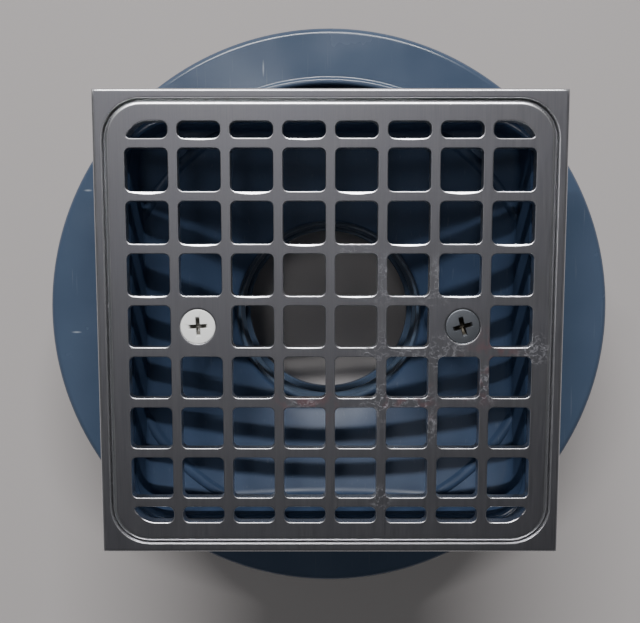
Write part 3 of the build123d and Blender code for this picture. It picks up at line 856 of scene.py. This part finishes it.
def make_sleeve():
    """Threaded tube: a helical ridge outside, the spigot's seat and a grip rib inside."""
    bm = bmesh.new()
    count = 144
    angles = even_steps(count)
    depth = 0.9
    inner = [
        (SLEEVE_RADIUS - 1.6, SLEEVE_TOP),
        (SLEEVE_RADIUS - 1.6, SLEEVE_TOP - 3.9),
        (25.95, SLEEVE_TOP - 4.0),
        (25.9, SLEEVE_TOP - 4.3),
        (25.9, 29.9),
        (25.2, 29.0),
        (25.2, 27.6),
        (25.9, 26.8),
        (25.9, SLEEVE_BOTTOM + 0.2),
        (26.1, SLEEVE_BOTTOM),
    ]
    rings = [circle_ring(radius, z, angles) for radius, z in inner]
    rings.append(circle_ring(SLEEVE_RADIUS - depth, SLEEVE_BOTTOM, angles))
    rows = 48
    length = SLEEVE_TOP - SLEEVE_BOTTOM - 0.6
    for i in range(rows + 1):
        z = SLEEVE_BOTTOM + 0.3 + length * i / rows
        ring = []
        for a in angles:
            phase = (z / PITCH - a / (2 * math.pi)) % 1.0
            crest = min(1.0, max(0.0, 1.6 - 4.2 * abs(phase - 0.5)))
            ends = min(1.0, (z - SLEEVE_BOTTOM) / 1.5)
            radius = SLEEVE_RADIUS - depth * (1 - crest * ends)
            ring.append((radius * math.cos(a), radius * math.sin(a), z))
        rings.append(ring)
    rings.append(circle_ring(SLEEVE_RADIUS - depth, SLEEVE_TOP, angles))
    lofted(bm, rings, closed=True)
    plastic = slate_plastic("sleeve_plastic_finish", (0.065, 0.095, 0.145), 0.3)
    return finished("threaded_sleeve", bm, plastic, "sleeve", ["height_sleeve"], sharp=50)


# ---------------------------------------------------------------- base

def make_base():
    """Flange, liner seat and hub turned in one, with ribs and bolt bosses."""
    bm = bmesh.new()
    top = FLANGE_TOP
    edge = 2.0
    seat_radius = SEAT_RADIUS
    seat_z = top - 8
    seat_under = seat_z - 5
    flange_under = top - 5
    seat_outer = seat_radius + 5
    hub = SLEEVE_RADIUS + 1.2 + 3.5
    profile = [(SOCKET_RADIUS, 0.6), (SOCKET_RADIUS + 0.6, 0), (hub - 0.8, 0), (hub, 0.8)]
    profile += [(hub, seat_under - 1.5), (hub + 1.5, seat_under), (seat_outer - 1.2, seat_under)]
    profile += [(seat_outer, seat_under + 1.2), (seat_outer, flange_under - 1)]
    profile.append((seat_outer + 1, flange_under))
    for sine, cosine in quarter(6):
        profile.append((FLANGE_RADIUS - edge * (1 - sine), flange_under + edge * (1 - cosine)))
    for sine, cosine in quarter(6):
        profile.append((FLANGE_RADIUS - edge * (1 - cosine), top - edge * (1 - sine)))
    lip_round = LIP_WIDTH / 2
    profile.append((seat_radius + LIP_WIDTH + 0.5, top))
    profile.append((seat_radius + LIP_WIDTH + 0.15, top + 0.06))
    for i in range(9):
        a = math.pi * (0.08 + 0.92 * i / 8)
        profile.append((seat_radius + lip_round * (1 + math.cos(a)), top + LIP_HEIGHT * math.sin(a)))
    profile += [(seat_radius, seat_z + 0.5), (seat_radius - 0.5, seat_z)]
    profile += [(THROAT_RADIUS + 0.6, seat_z), (THROAT_RADIUS, seat_z - 0.6)]
    profile += [(THROAT_RADIUS, STOP_TOP), (STOP_RADIUS + 0.3, STOP_TOP), (STOP_RADIUS, STOP_TOP - 0.3)]
    profile += [(STOP_RADIUS, SOCKET_DEPTH + 0.3), (STOP_RADIUS + 0.3, SOCKET_DEPTH)]
    profile.append((SOCKET_RADIUS, SOCKET_DEPTH))
    spun(bm, profile, 192)
    for i in range(8):
        turn = Matrix.Rotation(math.pi / 4 * i, 4, "Z")
        appended(bm, make_rib(hub, seat_outer, seat_under), turn)
    for i in range(4):
        appended(bm, make_insert_boss(i, seat_z))
    plastic = slate_plastic("base_plastic_finish", (0.052, 0.077, 0.125), 0.2, 0.5, FLANGE_SCRATCHES)
    return finished("flanged_base", bm, plastic, "base", ["drain_base"], sharp=32)


def make_rib(hub, seat_outer, seat_under):
    """Tapered web between the hub and the seat's underside, along +X."""
    part = bmesh.new()
    bmesh.ops.create_cube(part, size=1.0)
    inner = hub - 0.6
    outer = seat_outer - 2.5
    for vert in part.verts:
        out = vert.co.x > 0
        up = vert.co.z > 0
        vert.co.x = (outer if out else inner) * MM
        vert.co.y *= 3.0 * MM
        vert.co.z = (seat_under + 0.5 if up else (seat_under - 1 if out else 5.0)) * MM
    softened(part, 0.4)
    return part


def make_insert_boss(number, seat_z):
    """Boss round a clamp bolt's insert, under the seat."""
    part = bmesh.new()
    low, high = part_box(f"bolt_insert_{number + 1}")
    x = (low.x + high.x) / 2 / MM
    y = (low.y + high.y) / 2 / MM
    bottom = low.z / MM - 3.0
    angles = even_steps(40)
    top = seat_z - 4.5
    rings = []
    for radius, z in ((0.01, bottom), (5.5, bottom), (6.1, bottom + 0.6), (6.1, top), (0.01, top)):
        rings.append([(px + x, py + y, pz) for px, py, pz in circle_ring(radius, z, angles)])
    lofted(part, rings)
    return part


# ---------------------------------------------------------------- screws and bolts

def cross_reach(angle, arm, width):
    """Distance from the centre to the edge of a cross-shaped recess in a direction."""
    x = abs(math.cos(angle))
    y = abs(math.sin(angle))
    large, small = max(x, y), min(x, y)
    if small / large < width / arm:
        return arm / large
    return width / small


def make_grate_screw(side, node, finish, turn):
    """Flat-head screw: countersunk head, cross recess with sloping walls and a threaded shank."""
    bm = bmesh.new()
    x = side * SCREW_X
    angles = even_steps(96)
    shift = math.radians(turn)

    def circle(radius, z):
        return [(px + x, py, pz) for px, py, pz in circle_ring(radius, z, angles)]

    def cross(arm, width, z):
        ring = []
        for a in angles:
            reach = cross_reach(a - shift, arm, width)
            ring.append((x + reach * math.cos(a), reach * math.sin(a), z))
        return ring

    rings = [
        circle(0.01, SCREW_BOTTOM),
        circle(1.2, SCREW_BOTTOM),
        circle(1.9, SCREW_BOTTOM + 1.0),
    ]
    rows = 60
    low = SCREW_BOTTOM + 1.2
    high = SCREW_TOP - 3.0
    for i in range(rows + 1):
        z = low + (high - low) * i / rows
        ring = []
        for a in angles:
            phase = (z / 0.8 - a / (2 * math.pi)) % 1.0
            crest = 1 - abs(2 * phase - 1)
            radius = 1.95 + 0.42 * crest
            ring.append((x + radius * math.cos(a), radius * math.sin(a), z))
        rings.append(ring)
    rings += [
        circle(2.4, SCREW_TOP - 2.6),
        circle(4.33, SCREW_TOP - 0.35),
        circle(4.35, SCREW_TOP - 0.12),
        circle(4.25, SCREW_TOP - 0.02),
        circle(4.1, SCREW_TOP),
        cross(2.5, 0.62, SCREW_TOP),
        cross(2.38, 0.52, SCREW_TOP - 0.12),
        cross(1.7, 0.42, SCREW_TOP - 0.9),
        cross(0.8, 0.3, SCREW_TOP - 1.7),
        circle(0.01, SCREW_TOP - 1.8),
    ]
    lofted(bm, rings)
    body = "left_screw" if side < 0 else "right_screw"
    name = "left_flat_head_screw" if side < 0 else "right_flat_head_screw"
    return finished(name, bm, finish, body, [node], sharp=38)


def dress_cad_nodes():
    """Finishes for the CAD parts whose own shape is right."""
    steel = machined("stainless_bolt_finish", (0.52, 0.52, 0.53), 0.32)
    brass = machined("brass_insert_finish", (0.72, 0.53, 0.24), 0.3)
    ring_plastic = slate_plastic("ring_plastic_finish", (0.052, 0.08, 0.13), 0.34)
    for name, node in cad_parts.items():
        if name.startswith(("clamp_bolt", "bolt_washer", "frame_screw")):
            finish = steel
        elif "insert" in name:
            finish = brass
        elif name == "clamping_ring":
            finish = ring_plastic
        else:
            continue
        node.data.materials.clear()
        node.data.materials.append(finish)


make_camera()
make_studio()
make_grate()
make_tile_frame()
make_tub()
make_sleeve()
make_base()
bright_zinc = machined("bright_zinc_finish", (1.0, 1.0, 0.98), 0.4, 0.05, -SCREW_X)
dull_steel = machined("dull_steel_finish", (0.17, 0.18, 0.20), 0.46, 1.0, SCREW_X)
make_grate_screw(-1, "grate_screw_left", bright_zinc, 3)
make_grate_screw(1, "grate_screw_right", dull_steel, 15)
dress_cad_nodes()
